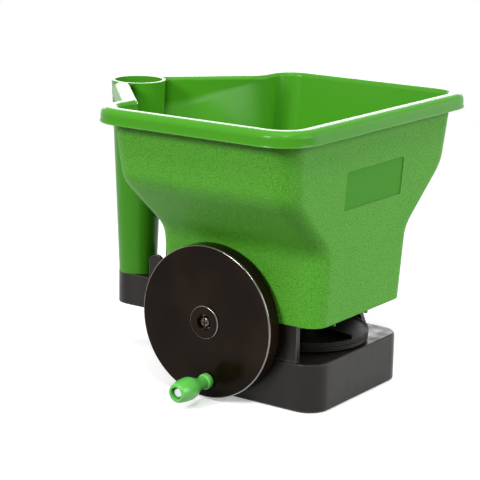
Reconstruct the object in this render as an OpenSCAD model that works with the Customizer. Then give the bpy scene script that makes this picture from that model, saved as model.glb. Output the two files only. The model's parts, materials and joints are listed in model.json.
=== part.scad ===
// Hand-cranked broadcast spreader: an open hopper with a tubular rear handle stands on a
// drive housing and a base tray. A crank wheel with internal teeth drives a pinion and a
// pair of bevel gears, which spin the throwing disc under the hopper. A trigger in front of
// the handle pulls a shutter back from the drop port in the hopper floor.
// X runs across, with the crank wheel on the minus side. Minus Y is the throwing side and
// plus Y is the handle. Z is up, with the ground at zero. The origin is under the middle
// of the overall box.

/* [Hopper] */
// Width over the rolled rim
lip_w = 240; // [232:1:252]
// Length over the rolled rim, without the handle
lip_l = 171.5; // [168:0.5:180]
// Outer corner radius of the rim
lip_r = 27; // [24:1:32]
// Height of the rim above the ground
rim_h = 205; // [200:1:220]
// Width of the rim's flat top, from the inner wall face to its outer edge
lip_flange = 12; // [11:0.5:14]
// Depth of the turned-down edge of the rim
lip_drop = 10.4; // [8:0.2:12]
// Thickness of the rim
lip_t = 2.4; // [2:0.1:3]
// Rounding along the outer edge of the rim
lip_outer_r = 5; // [3.5:0.25:6]
// Rounding along the inner edge of the rim
lip_inner_r = 2.6; // [1.5:0.1:3.4]
// Reach of the bead along the foot of the turned-down edge
lip_bead = 0.6; // [0.3:0.1:1]
// Wall thickness of the hopper
wall = 2.5; // [2:0.1:3]
// Outer width at the shoulder, where the side walls turn inward
shoulder_w = 207; // [200:1:214]
// Height of the shoulder
shoulder_h = 154; // [150:1:158]
// Outer width at the waist, where the sides turn down again
waist_w = 119; // [117:0.5:122]
// Height of the waist
waist_h = 114; // [112:0.5:118]
// Outer corner radius of the hopper walls at their foot
foot_r = 12; // [10:0.5:16]
// Length over which the shoulder and the waist are rounded
bend_len = 7; // [4:0.5:10]
// Height of the hopper floor
floor_h = 72; // [71.5:0.5:74]
// Thickness of the hopper floor
floor_t = 2.5; // [2:0.1:3]
// Rise of the floor from the flat part to the rear wall
ramp_rise = 30; // [20:1:36]
// Width of the bare label panel on the front
panel_w = 74; // [50:1:90]
// Height of the bare label panel
panel_h = 27; // [20:1:34]
// Height of the middle of the label panel above the ground
panel_mid_h = 154; // [150:1:165]
// Depth of the label panel
panel_deep = 0.5; // [0.3:0.1:0.8]
// Corner radius of the label panel
panel_r = 2; // [1:0.5:4]
// Depth of the two nibs under the front edge
nib_drop = 2.4; // [1.6:0.2:3]
// Width of the nibs
nib_w = 2; // [1.5:0.1:3]

/* [Handle] */
// Distance from the middle of the rim back to the axis of the handle tube
tube_back = 134; // [130:1:140]
// Outer diameter of the handle tube at its top
tube_top_d = 40; // [38:0.5:42]
// Outer diameter of the handle tube at its foot
tube_foot_d = 28.6; // [28:0.2:32]
// Wall of the handle tube
tube_wall = 2.2; // [1.8:0.1:2.6]
// Angle of the two slanted walls that lead the rim to the handle tube
vee_ang = 43.2; // [42:0.2:45]
// Height of the underside of the rear pocket at the hopper wall
pocket_wall_h = 149; // [147:1:153]
// Height of the underside of the rear pocket at the handle tube
pocket_tube_h = 164; // [160:1:170]
// Depth of the socket in the foot of the handle tube
socket_h = 11; // [9:0.5:14]
// Diameter of the screw boss inside the handle tube
tube_boss_d = 10; // [8:0.5:12]
// Length of the screw boss above the socket
tube_boss_h = 14; // [12:0.5:18]

/* [Base] */
// Width of the base tray
base_w = 115.2; // [113:0.2:118]
// Distance from the middle of the rim to the front of the base
base_front = 66.4; // [66:0.2:68]
// Distance from the middle of the rim to the rear of the tray
tray_back = 60; // [57:0.5:62]
// Height of the base tray
tray_h = 34.8; // [34.6:0.1:35.2]
// Height of the drive housing on the tray
housing_h = 25.9; // [25.7:0.1:26.3]
// Corner radius of the base
base_r = 16; // [14:0.5:18]
// Wall of the tray and the housing
base_wall = 3; // [2.6:0.1:3.2]
// Rounding along the top edge of the tray
tray_edge_r = 1.6; // [1:0.1:2.2]
// Thickness of the ribs inside the tray
rib_t = 2; // [1.5:0.1:2.5]
// Depth of the ribs under the tray's deck
rib_h = 8; // [5:0.5:10]
// Step from the side of the tray in to the side of the housing
ledge = 0.8; // [0.5:0.1:1]
// Set-back of the housing wall on the crank side, behind the front of the tray
near_set_back = 17; // [15:0.2:19]
// Set-back of the housing wall on the far side where it meets the tray
far_set_back = 30.5; // [28:0.5:33]
// Backward lean of that wall's front edge
far_lean = 22.8; // [15:0.2:25]
// Diameter of the screw posts in the housing
post_d = 9; // [8:0.2:10]
// Width of the arm that carries the foot of the handle
arm_w = 29; // [28.6:0.2:34]
// Step from the top of the housing down to the top of the arm
arm_step = 1.7; // [1.2:0.1:2.5]
// Height of the two cheeks beside the trigger's foot
cheek_h = 18.5; // [16:0.5:20]
// Width of a cheek along the arm
cheek_l = 12; // [10:0.5:13]

/* [Crank] */
// Distance from the middle of the rim back to the axle of the crank wheel
axle_back = 16.6; // [15.8:0.2:17.4]
// Height of the axle of the crank wheel
axle_h = 55.3; // [55:0.1:55.5]
// Outer diameter of the crank wheel
wheel_d = 109; // [106:0.2:109.6]
// Depth of the crank wheel's skirt
wheel_w = 12; // [11.5:0.1:13]
// Rounding along the front edge of the crank wheel
wheel_edge_r = 1.2; // [0.8:0.1:2.5]
// Gap from the side of the hopper to the crank wheel
wheel_gap = 0.8; // [0.6:0.1:2]
// Diameter of the fixed axle stub
axle_d = 8; // [7:0.2:8.6]
// Diameter of the lobe that carries the axle stub
lobe_d = 34; // [30:0.5:38]
// Diameter of the raised ring round the wheel's hub
hub_ring_d = 24; // [20:0.5:28]
// Diameter of the recess for the axle screw
hub_hole_d = 11.6; // [11:0.1:12.4]
// Distance from the axle to the knob
knob_throw = 42; // [38:0.5:43]
// Turn of the knob from straight below the axle, towards the throwing side
knob_turn = 4; // [0:1:30]
// Length of the knob
knob_len = 36; // [30:0.5:40]
// Largest diameter of the knob
knob_d = 16.4; // [14:0.2:18]
// Diameter of the collar at the foot of the knob
knob_collar_d = 11.4; // [10.6:0.2:13]
// Length of the collar and the neck
knob_neck_l = 9; // [8:0.5:11]
// Diameter of the knob's neck
knob_neck_d = 8.8; // [8.4:0.1:10]
// Diameter of the recess in the end of the knob
knob_recess_d = 9; // [8:0.2:9.6]
// Diameter of the knob's pin
knob_pin_d = 4.6; // [4:0.1:5]

/* [Gears] */
// Module of the wheel's inner teeth and the pinion
tooth_m = 1.5; // [1.49:0.005:1.51]
// Teeth inside the crank wheel
ring_teeth = 64; // [64]
// Teeth on the pinion
pinion_teeth = 14; // [14]
// Module of the bevel gears
bevel_m = 1; // [0.96:0.02:1.02]
// Teeth on each bevel gear
bevel_teeth = 16; // [16]
// Share of the bevel gears' cone that is toothed
bevel_face = 0.4; // [0.3:0.05:0.42]
// Play between the flanks of meshing teeth
backlash = 0.3; // [0.2:0.02:0.4]
// Diameter of the drive shafts
shaft_d = 5; // [4.6:0.1:5.2]
// Outer diameter of the bushes
bush_d = 8; // [7.6:0.1:8.2]
// Length of a bush without its collar
bush_len = 6; // [5:0.5:6.5]
// Thickness of a bush's collar
collar_t = 1; // [0.8:0.1:1.2]
// Thickness of the gear cover
cover_t = 1.5; // [1.2:0.1:1.7]

/* [Throwing disc] */
// Diameter of the throwing disc
disc_d = 88; // [80:1:88]
// Height of the top of the throwing disc
disc_h = 42; // [41.6:0.1:42.2]
// Thickness of the throwing disc
disc_t = 2; // [1.6:0.1:2.2]
// Depth of the throwing disc's skirt
disc_skirt = 5.2; // [4.6:0.1:5.4]
// Rise of the disc's thin upturned edge
disc_edge = 1; // [0.6:0.1:1.2]
// Number of vanes on the throwing disc
vanes = 4; // [3:1:6]
// Height of the vanes
vane_h = 3.8; // [2.5:0.1:4]
// Thickness of the vanes
vane_t = 1.2; // [1:0.1:1.6]
// Reach of the agitator's fingers from its axis
stir_reach = 25; // [18:0.5:27]
// Height of the agitator's hub
stir_h = 11; // [10:0.5:13]
// Diameter of the agitator's hub
stir_d = 11; // [10:0.5:13]
// Diameter of the agitator's fingers at their root
finger_d = 4.4; // [4:0.1:5]

/* [Shutter and trigger] */
// Width of the drop port
port_w = 32; // [24:1:34]
// Length of the drop port
port_l = 11; // [10:0.5:11.5]
// Travel of the shutter
travel = 12.5; // [12:0.1:12.6]
// Thickness of the shutter
shutter_t = 2; // [1.6:0.1:2.2]
// Width of the shutter's tail
tail_w = 22; // [20:0.5:24]
// Thickness of the guide under the shutter
guide_t = 2.2; // [1.8:0.1:2.6]
// Width of the guide's rails
rail_w = 6.7; // [6:0.1:8]
// Height of the trigger's pivot
pivot_h = 146; // [142:0.5:148]
// Distance from the middle of the rim back to the trigger's pivot
pivot_back = 100; // [98:0.5:101]
// Width of the trigger
trigger_w = 16; // [14:0.5:17]
// Thickness of the trigger at its pivot
trigger_top_t = 11; // [10:0.5:12]
// Thickness of the trigger at the finger
trigger_mid_t = 9.2; // [8:0.2:10]
// Thickness of the trigger's tip in the shutter
tip_t = 6; // [5:0.2:6.6]
// Diameter of the trigger's pivot pin
pivot_d = 4; // [3.5:0.1:4.5]
// Thickness of the ears that hold the pivot pin
ear_t = 3; // [2.5:0.1:3.5]
// Outer diameter of the return spring
spring_d = 8; // [7:0.1:8.4]
// Wire of the return spring
spring_wire = 1; // [0.8:0.1:1.1]
// Turns of the return spring
spring_turns = 9; // [6:1:9]
// Width of the spring's tab on the shutter
tab_w = 12; // [10:0.5:14]
// Thickness of that tab
tab_t = 2.4; // [2:0.1:3]

/* [Screws] */
// Diameter of the four long case screws
case_screw_d = 4; // [3.5:0.1:4.5]
// Head of the case screws
case_head_d = 8; // [7:0.2:8.4]
// Diameter of the handle screw
handle_screw_d = 3.1; // [2.8:0.1:3.5]
// Head of the handle screw
handle_head_d = 7.4; // [6.6:0.2:8]
// Diameter of the axle screw
axle_screw_d = 3; // [2.6:0.1:3.4]
// Head of the axle screw
axle_head_d = 8.6; // [7:0.2:9.4]
// Diameter of the small screws in the gear cover and the shutter guide
small_screw_d = 2.4; // [2:0.1:2.6]
// Head of the small screws
small_head_d = 4.5; // [4:0.1:4.8]
// Height of the large screw heads
head_t = 2.6; // [2.2:0.1:3]
// Height of the small screw heads
small_head_t = 1.1; // [0.9:0.1:1.2]
// Width of the slots in the screw heads
slot_w = 0.9; // [0.6:0.1:1.1]
// Thickness of the axle screw's washer
washer_t = 1; // [0.8:0.1:1.2]

/* [Fits] */
// Radial clearance of a shaft that runs in a hole
run_gap = 0.05; // [0.03:0.01:0.09]
// Radial clearance of a shaft that is pressed into a gear or a wall
seat_gap = 0.02; // [0.01:0.01:0.04]
// Clearance beside a sliding or locating face
slide_gap = 0.3; // [0.25:0.05:0.4]
// Clearance of a screw in a plain hole
screw_gap = 0.2; // [0.1:0.05:0.3]
// Room round parts that turn past a wall
turn_gap = 0.4; // [0.3:0.05:0.6]

/* [Hidden] */

$fn = 64;
fine = 128;
coarse = 32;
green = "#4fa832";
black = "#211f1e";
steel = "#b9bcc0";
nylon = "#e9e4d6";
eps = 0.05;
past = 1;
pressure = 20;
corner_steps = 6;
bend_steps = 4;
edge_steps = 4;

// Places along Y, worked out from the middle of the rim
tube_r = tube_top_d / 2;
rim_y = (lip_l / 2 - tube_back - tube_r) / 2;
tube_y = rim_y + tube_back;
axle_y = rim_y + axle_back;
front_y = rim_y - base_front;
rear_y = rim_y + tray_back;
pivot_y = rim_y + pivot_back;
gear_centre = tooth_m * (ring_teeth - pinion_teeth) / 2;
spin_y = axle_y - gear_centre;

// Levels and widths of the hopper and the base
seam_h = tray_h + housing_h;
arm_h = seam_h - arm_step;
deck_low = tray_h - base_wall;
housing_w = base_w - 2 * ledge;
skirt_over = 0.4;
skirt_w = housing_w + 2 * skirt_over;
skirt_l = 2 * (base_front - ledge + skirt_over);
skirt_in_y = rim_y + skirt_l / 2 - wall;
rim_w = lip_w - 2 * (lip_flange - wall);
rim_l = lip_l - 2 * (lip_flange - wall);
corner_r = lip_r - lip_flange + wall;
wall_top = rim_h - lip_t;
band_ang = atan((shoulder_w - waist_w) / 2 / (shoulder_h - waist_h));
floor_low = floor_h - floor_t;
floor_flat = 34;
floor_flat_y = spin_y + floor_flat;
nib_places = [-33, 9];
nib_l = 5;
lip_web = 1.6;
lip_fillet = 6;
socket_d = tube_foot_d - 2 * tube_wall;
socket_web = 3;
handle_pilot = arm_h + socket_h + tube_boss_h - socket_web;
pocket_bite = 8;
ear_r = 6;
ear_gap = trigger_w / 2 + slide_gap;
boss_wall = 2.5;

// Tray, housing walls and the tongue that locates the hopper on them
tray_foot = 0.8;
rib_x = 30;
rib_places = [spin_y - 7, spin_y + 24, rear_y - 24];
wall_bite = 1;
tongue_t = 1.4;
tongue_h = 2.4;
cheek_t = 3;

// Crank wheel, measured along X outward from the housing
bend_out = bend_len * (shoulder_w - waist_w) / 2 / (shoulder_h - waist_h);
bend_share = max(0, (axle_h + wheel_d / 2 - waist_h + bend_len) / 2 / bend_len);
wheel_in = max(housing_w, waist_w) / 2 + bend_out * pow(bend_share, 2) + wheel_gap;
wheel_out = wheel_in + wheel_w;
web_t = 2.5;
skirt_ease = 0.6;
hub_d = 20;
hub_edge_r = 1;
hub_ring_t = 1.5;
end_gap = 0.2;
stub_sink = 4.2;
axle_out = wheel_out + hub_ring_t - stub_sink;
axle_screw_l = 9;
lobe_step = 3;
lobe_in = skirt_w_at(axle_h + lobe_d / 2) / 2 + slide_gap;
knob_gap = 0.25;
knob_end_d = 11.2;
knob_recess = 4;
knob_swell = 0.52;
knob_steps = 9;
collar_foot_r = 1;
collar_h = 2.8;
collar_top_r = 2.6;
pin_head_d = 7.6;
pin_head_t = 0.9;
pin_cap_d = 8;
pin_cap_t = 1.8;
knob_y = axle_y - knob_throw * sin(knob_turn);
knob_z = axle_h - knob_throw * cos(knob_turn);

// Gears: heights of the teeth above and below the pitch line are counted in modules
tooth_root = 1.25;
ring_tip = 0.6;
bevel_tip = 1.6;
ring_r = tooth_m * ring_teeth / 2;
ring_root_r = ring_r + tooth_root * tooth_m;
ring_wall = 1;
ring_in = 1;
pinion_r = tooth_m * pinion_teeth / 2;
pinion_tip_r = pinion_r + tooth_m;
pinion_hub_d = 9;
pinion_in = wheel_in + 1.4;
pinion_out = wheel_out - web_t - 1.9;
bevel_r = bevel_m * bevel_teeth / 2;
bevel_in = bevel_r * (1 - bevel_face);
bevel_hub_d = 9;
disc_gear_hub_d = 10;
collar_d = bush_d + 2.4;
clip_t = 1;
clip_d = shaft_d + 2.6;
shaft_past = 1.2;
spoke_t = 2;
spoke_count = 6;
spoke_in = 5;
spoke_reach = gear_centre - pinion_tip_r - 2.5;

// Bearing of the lay shaft beside the bevel gears, the tunnel over the shaft and the hood over the gears
bearing_in = 12;
bearing_out = bearing_in + bush_len - collar_t;
tunnel_half = bevel_r + 3.4;
tunnel_low = disc_h + vane_h + 2.4;
tunnel_top = seam_h + 1.8;
tunnel_wall = 2;
clip_room = 0.5;
cover_tab = 8;
cover_reach = bevel_r + 5;
shaft_room = 0.8;
cover_top = axle_h + bevel_r + bevel_tip * bevel_m + turn_gap + cover_t;
cover_screw_hold = 5;
cover_screw_places = [for (s = [-1, 1]) [-bearing_out - 3, spin_y + s * (tunnel_half - 2.6)]];

// Throwing disc
disc_r = disc_d / 2;
disc_low = disc_h - disc_skirt;
disc_edge_t = 0.7;
groove_deep = 1.6;
groove_h = 1;
skirt_step = 0.4;
disc_hub_d = 13;
vane_draft = 0.15;
disc_hub_rise = 1.8;
disc_eye_d = 4 * bevel_r;
vane_from = 6;
vane_turn = -10;
stir_roof = 2;
stir_edge_r = 2;
finger_root = 3;
finger_h = 5;
finger_tip_d = 3.2;
finger_lean = 82;
stir_low = floor_low + bush_len + turn_gap;
shaft_tail = 3.6;

// Case screws, one near each corner of the housing, the front two clear of the throwing disc and the shaft
post_room = 2;
post_clear = 1.3;
post_web_t = 3;
rear_post_in = 10;
screw_x = housing_w / 2 - base_wall - post_d / 2 - post_clear;
disc_off = sqrt(max(0, pow((disc_d + post_d) / 2 + post_room, 2) - pow(screw_x, 2)));
post_off = max(disc_off, tunnel_half + post_d / 2);
case_screw_places = [
    [-screw_x, spin_y - post_off],
    [screw_x, spin_y + post_off],
    [-screw_x, rear_y - rear_post_in],
    [screw_x, rear_y - rear_post_in]
];
case_seat = deck_low - 6;
pilot_skin = 0.6;
tip_room = 0.4;
case_pilot = floor_low - pilot_skin;
guide_pilot = floor_h - pilot_skin;
arm_boss_d = 10;
arm_seat = tray_h + 6;

// Drop port and shutter, behind the gear cover
port_front = spin_y + tunnel_half + 2;
shutter_top = floor_low - slide_gap;
shutter_low = shutter_top - shutter_t;
shutter_w = port_w + 6;
shutter_front = port_front - (travel - port_l);
tail_from = port_front + 34;
tail_end = 2.5;
slot_run = 8;
tip_front = pivot_y - 4.5;
tip_play = 0.5;
tip_past = 2.5;
tip_rise = 8;
finger_bow = 3.4;
finger_drop = 36;
pin_over = 0.8;
lever_throw = pivot_h - (shutter_top + shutter_low) / 2;
guide_w = shutter_w + 2 * (slide_gap + rail_w);
guide_low = shutter_low - slide_gap - guide_t;
guide_from = port_front - 0.5;
guide_to = floor_flat_y;
guide_screw_x = shutter_w / 2 + slide_gap + rail_w / 2;
guide_screw_in = 4;
guide_screw_places = [
    for (x = [-guide_screw_x, guide_screw_x])
        for (y = [guide_from + guide_screw_in, guide_to - guide_screw_in]) [x, y]
];

// Return spring between a tab on the shutter and the rear wall
tab_y = floor_flat_y + 18;
spring_z = shutter_top + spring_d / 2 + 0.8;
spring_seat_d = spring_d - 2 * spring_wire - 1;
spring_seat_l = 5.5;
tab_seat_l = 2.6;
spring_rings = 8;
spring_sides = 6;

// Points on an arc
function arc(c, r, a0, a1, n) =
    [for (i = [0:n]) let (a = a0 + (a1 - a0) * i / n) c + r * [cos(a), sin(a)]];

// A rounded rectangle about the middle of the rim, at height z
function plan_ring(w, l, r, z) = [
    for (q = [0:3])
        let (sx = (q == 0 || q == 3) ? 1 : -1, sy = q < 2 ? 1 : -1)
        let (c = [sx * (w / 2 - r), rim_y + sy * (l / 2 - r)])
        for (p = arc(c, r, 90 * q, 90 * q + 90, corner_steps)) [p[0], p[1], z]
];

// Share of the way from the foot of the hopper walls to their top
function wall_share(z) = (z - seam_h) / (wall_top - seam_h);

// Outer length of the hopper at height z: its front and rear walls lean out evenly
function wall_l(z) = skirt_l + (rim_l - skirt_l) * wall_share(z);

// Outer corner radius of the hopper at height z
function wall_r(z) = foot_r + (corner_r - foot_r) * wall_share(z);

// Outer width of the hopper at height z, below the waist
function skirt_w_at(z) = skirt_w + (waist_w - skirt_w) * (z - seam_h) / (waist_h - seam_h);

// Inner face of the hopper's rear wall at height z
function rear_in(z) = rim_y + wall_l(z) / 2 - wall;

// A rounded bend at k between two straight runs, each point a width and a height
function bend(a, k, b) =
    let (p = k + (a - k) * bend_len / abs(a[1] - k[1]), q = k + (b - k) * bend_len / abs(b[1] - k[1]))
    [
        for (i = [0:bend_steps])
            let (t = i / bend_steps)
            (1 - t) * (1 - t) * p + 2 * t * (1 - t) * k + t * t * q
    ];

// Sections of the hopper: width, length and height, thinned by t on each side
function hopper_sections(t, low, high) =
    let (rise = t * tan(band_ang / 2), foot = [skirt_w, low], top = [rim_w, high])
    let (waist = [waist_w, waist_h + rise], shoulder = [shoulder_w, shoulder_h + rise])
    let (runs = concat([foot], bend(foot, waist, shoulder), bend(waist, shoulder, top), [top]))
    [for (p = runs) [p[0] - 2 * t, wall_l(p[1]) - 2 * t, p[1]]];

// Half width of the rear pocket at y, set in by s from the line of the rim
function leg_x(y, s) = (tube_r - s - cos(vee_ang) * (y - tube_y)) / sin(vee_ang);

// Outer diameter of the handle tube at height z
function tube_d(z) = tube_foot_d + (tube_top_d - tube_foot_d) * (z - arm_h) / (rim_h - arm_h);

// The rim's outline with its run to the handle tube, set in by s, at height z
function lip_ring(s, z) =
    let (a = lip_w / 2 - lip_r, front = rim_y - lip_l / 2 + lip_r, rear = rim_y + lip_l / 2 - lip_r)
    let (fillet_y = rim_y + lip_l / 2 + lip_fillet, c = [leg_x(fillet_y, -lip_fillet), fillet_y])
    let (r = lip_r - s, f = lip_fillet + s, turn = 90 - vee_ang)
    [
        for (p = concat(
            arc([a, front], r, -90, 0, corner_steps),
            arc([a, rear], r, 0, 90, corner_steps),
            arc(c, -f, 90, turn, edge_steps),
            arc([0, tube_y], tube_r - s, turn, 180 - turn, 2 * edge_steps),
            arc([-c[0], c[1]], -f, 180 - turn, 90, edge_steps),
            arc([-a, rear], r, 90, 180, corner_steps),
            arc([-a, front], r, 180, 270, corner_steps)
        )) [p[0], p[1], z]
    ];

// Section of the rolled rim as set-in and drop: bead, outer edge, flat top, inner edge and underside
lip_centre = [lip_bead + lip_outer_r, lip_outer_r];
lip_profile = concat(
    [[lip_bead + lip_t, lip_drop], [lip_bead / 2, lip_drop], [0, lip_drop - lip_bead / 2]],
    [[0, lip_drop - lip_bead], [lip_bead, lip_drop - 3 * lip_bead]],
    arc(lip_centre, lip_outer_r, 180, 270, edge_steps),
    arc([lip_flange - lip_inner_r, lip_inner_r], lip_inner_r, 270, 360, edge_steps),
    [[lip_flange, lip_t + lip_web], [lip_flange - wall, lip_t + lip_web], [lip_flange - wall, lip_t]],
    arc(lip_centre, lip_outer_r - lip_t, 270, 180, edge_steps / 2)
);

// Involute teeth
function inv(a) = tan(a) * 180 / PI - a;
function half_tooth(r, n, rho, play) =
    let (base = r * cos(pressure), roll = rho > base ? acos(base / rho) : 0)
    90 / n + inv(pressure) - inv(roll) - play / 4 / r * 180 / PI;

// Middle line and rings of the return spring
spring_from = tab_y + tab_t + slide_gap;
spring_to = rear_in(spring_z - spring_d / 2) - slide_gap;
spring_mid_r = (spring_d - spring_wire) / 2;
spring_run = spring_to - spring_from - spring_wire;
spring_steps = spring_rings * spring_turns;
function spring_out(i) = [cos(360 * i / spring_rings), 0, sin(360 * i / spring_rings)];
function spring_point(i) =
    let (y = spring_from + spring_wire / 2 + spring_run * i / spring_steps)
    [0, y, spring_z] + spring_mid_r * spring_out(i);
function spring_ring(i) = [
    for (k = [0:spring_sides - 1])
        let (a = 360 * k / spring_sides)
        spring_point(i) + spring_wire / 2 * (cos(a) * spring_out(i) + sin(a) * [0, 1, 0])
];

// A solid through rings of equal length, lowest first
module loft(rings) {
    n = len(rings[0]);
    m = len(rings);
    sides = [
        for (i = [0:m - 2], j = [0:n - 1])
            let (k = (j + 1) % n)
            each [
                [i * n + j, (i + 1) * n + j, (i + 1) * n + k],
                [i * n + j, (i + 1) * n + k, i * n + k]
            ]
    ];
    low = [for (j = [0:n - 1]) j];
    high = [for (j = [n - 1:-1:0]) (m - 1) * n + j];
    polyhedron([for (r = rings) each r], concat([low, high], sides));
}

// A ring-shaped solid: rings of equal length that close on the first one again
module closed_sweep(rings) {
    n = len(rings[0]);
    m = len(rings);
    faces = [
        for (i = [0:m - 1], j = [0:n - 1])
            let (k = (j + 1) % n, h = (i + 1) % m)
            each [
                [i * n + j, h * n + j, h * n + k],
                [i * n + j, h * n + k, i * n + k]
            ]
    ];
    polyhedron([for (r = rings) each r], faces);
}

// A profile in Y and Z, extruded along X from x0 to x1
module across(x0, x1) {
    translate([x0, 0, 0]) rotate([90, 0, 90]) linear_extrude(x1 - x0) children();
}

// A shape about the Z axis, turned to point from x along minus X at the given Y and Z
module point_out(x, y, z) {
    translate([-x, y, z]) rotate([0, -90, 0]) children();
}

// Copies at each of the given places in plan
module at_each(places) {
    for (p = places) translate([p[0], p[1], 0]) children();
}

module at_spin() {
    translate([0, spin_y, 0]) children();
}

module at_tube() {
    translate([0, tube_y, 0]) children();
}

// A plan with four rounded corners
module rounded_plan(w, y0, y1, r) {
    translate([-w / 2, y0 + r]) square([w, y1 - y0 - 2 * r]);
    translate([-w / 2 + r, y0]) square([w - 2 * r, y1 - y0]);
    for (x = [-w / 2 + r, w / 2 - r], y = [y0 + r, y1 - r]) translate([x, y]) circle(r);
}

module slab(z0, z1) {
    translate([0, 0, z0]) linear_extrude(z1 - z0) children();
}

module rod(d, z0, z1) {
    translate([0, 0, z0]) cylinder(d = d, h = z1 - z0);
}

// A box from one corner to the opposite one
module block(a, b) {
    translate(a) cube(b - a);
}

// A pan-head screw standing on its head, point up, with a cross in the head
module pan_screw(d, length, head_d, head) {
    difference() {
        union() {
            rod(d, 0, length);
            rotate_extrude()
                polygon(concat([[0, 0]], arc([head_d / 2 - head, 0], head, 0, -90, 6), [[0, -head]]));
        }
        for (a = [0, 90]) rotate(a)
            block([-head_d / 3, -slot_w / 2, -head - past], [head_d / 3, slot_w / 2, -head / 2]);
    }
}

// Outline of a toothed wheel with pitch radius r and n teeth, the first one on the plus X side
module toothed(r, n, root, tip, play) {
    steps = [for (i = [0:edge_steps]) root + (tip - root) * i / edge_steps];
    half = [for (s = steps) half_tooth(r, n, s, play)];
    tooth_outline(n, steps, half);
}

// Outline of n teeth whose flanks pass through the given radii at the given half angles
module tooth_outline(n, radii, half) {
    last = len(radii) - 1;
    polygon([
        for (k = [0:n - 1])
            each concat(
                [for (i = [0:last]) let (a = 360 * k / n - half[i]) radii[i] * [cos(a), sin(a)]],
                [for (i = [last:-1:0]) let (a = 360 * k / n + half[i]) radii[i] * [cos(a), sin(a)]]
            )
    ]);
}

// Outline of a mitre gear at its large end, from the involute of its back cone
module bevel_outline(r, n, m, play) {
    back = r * sqrt(2);
    steps = [for (i = [0:edge_steps]) back - tooth_root * m + (1 + tooth_root) * m * i / edge_steps];
    radii = [for (s = steps) r * tan(45 + atan((s - back) / back))];
    half = [for (s = steps) half_tooth(back, n * sqrt(2), s, play) * s / (r + (s - back) / sqrt(2))];
    tooth_outline(n, radii, half);
}

// A mitre gear whose cone has its tip at the origin, toothed below it
module bevel_gear(hub, hub_len) {
    difference() {
        union() {
            translate([0, 0, -bevel_r]) linear_extrude(bevel_face * bevel_r, scale = 1 - bevel_face)
                bevel_outline(bevel_r, bevel_teeth, bevel_m, backlash);
            rod(hub, -bevel_r - hub_len, -bevel_r + eps);
        }
        rod(shaft_d + 2 * seat_gap, -bevel_r - hub_len - past, past);
    }
}

module lip() {
    closed_sweep([for (p = lip_profile) lip_ring(p[0], rim_h - p[1])]);
}

module hopper_block(t, low, high) {
    loft([for (s = hopper_sections(t, low, high)) plan_ring(s[0], s[1], wall_r(s[2]) - t, s[2])]);
}

// Everything above the hopper floor, lowered by t
module above_floor(t) {
    z = floor_h - t;
    rear = skirt_in_y + 10;
    slope = ramp_rise / (skirt_in_y - floor_flat_y);
    across(-lip_w, lip_w) polygon([
        [-lip_l, z], [floor_flat_y, z], [rear, z + slope * (rear - floor_flat_y)],
        [rear, 2 * rim_h], [-lip_l, 2 * rim_h]
    ]);
}

// Rear pocket between the two slanted walls, set in by s, above its sloping floor raised by t
module pocket(s, t, high) {
    wall_y = rim_y + wall_l(pocket_wall_h) / 2;
    slope = (pocket_tube_h - pocket_wall_h) / (tube_y - tube_d(pocket_tube_h) / 2 - wall_y);
    y0 = wall_y - pocket_bite;
    z0 = pocket_wall_h + t - pocket_bite * slope;
    intersection() {
        slab(waist_h, high) polygon([
            [leg_x(y0, s), y0], [leg_x(tube_y, s), tube_y], [-leg_x(tube_y, s), tube_y], [-leg_x(y0, s), y0]
        ]);
        across(-lip_w, lip_w) polygon([
            [y0 - past, z0 - past * slope], [tube_y + past, z0 + (tube_y + past - y0) * slope],
            [tube_y + past, 2 * rim_h], [y0 - past, 2 * rim_h]
        ]);
    }
}

// Handle tube: a long taper, hollow from the top, with a socket at its foot
module tube_taper(t, z0, z1) {
    at_tube() translate([0, 0, z0])
        cylinder(d1 = tube_d(z0) - 2 * t, d2 = tube_d(z1) - 2 * t, h = z1 - z0);
}

module tube_hollow() {
    socket_top = arm_h + socket_h;
    difference() {
        tube_taper(tube_wall, socket_top + socket_web, rim_h + past);
        at_tube() rod(tube_boss_d, arm_h, socket_top + tube_boss_h);
    }
    at_tube() rod(socket_d, arm_h - past, socket_top);
    at_tube() rod(handle_screw_d + 2 * seat_gap, arm_h, handle_pilot);
}

// Two ears under the rear pocket for the trigger's pin
module ears() {
    for (x = [ear_gap, -ear_gap - ear_t]) across(x, x + ear_t) {
        translate([pivot_y, pivot_h]) circle(ear_r);
        translate([pivot_y - ear_r, pivot_h]) square([2 * ear_r, pocket_tube_h - pivot_h]);
    }
}

module pivot_bore(d) {
    across(-trigger_w, trigger_w) translate([pivot_y, pivot_h]) circle(d = d);
}

// Screw bosses under the hopper floor, the seats of the disc shaft and the spring, and the front nibs
module hopper_bosses() {
    intersection() {
        hopper_block(wall / 2, seam_h, wall_top);
        difference() {
            union() {
                at_each(case_screw_places) rod(post_d, seam_h, floor_h + ramp_rise);
                translate([0, rear_in(spring_z) + wall / 2, spring_z]) rotate([90, 0, 0])
                    cylinder(d = spring_seat_d, h = spring_seat_l);
            }
            above_floor(eps);
        }
    }
    at_spin() rod(bush_d + 2 * boss_wall, floor_low, floor_low + bush_len);
    nib_y = rim_y - skirt_l / 2 + wall / 2;
    for (x = nib_places)
        block([x - nib_w / 2, nib_y, seam_h - nib_drop], [x + nib_w / 2, nib_y + nib_l, floor_low + eps]);
}

// Recess for the label on the sloping front wall
module label_panel() {
    lean = atan((rim_l - skirt_l) / 2 / (wall_top - seam_h));
    translate([0, rim_y - wall_l(panel_mid_h) / 2 + panel_deep, panel_mid_h]) rotate([90 + lean, 0, 0])
        slab(0, wall) rounded_plan(panel_w, -panel_h / 2, panel_h / 2, panel_r, $fn = coarse);
}

// Slot for the shutter's tail through the rear wall
module tail_slot() {
    half = tail_w / 2 + slide_gap;
    block(
        [-half, skirt_in_y - slot_run, shutter_low - slide_gap],
        [half, skirt_in_y + wall + slot_run, floor_low]
    );
}

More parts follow.
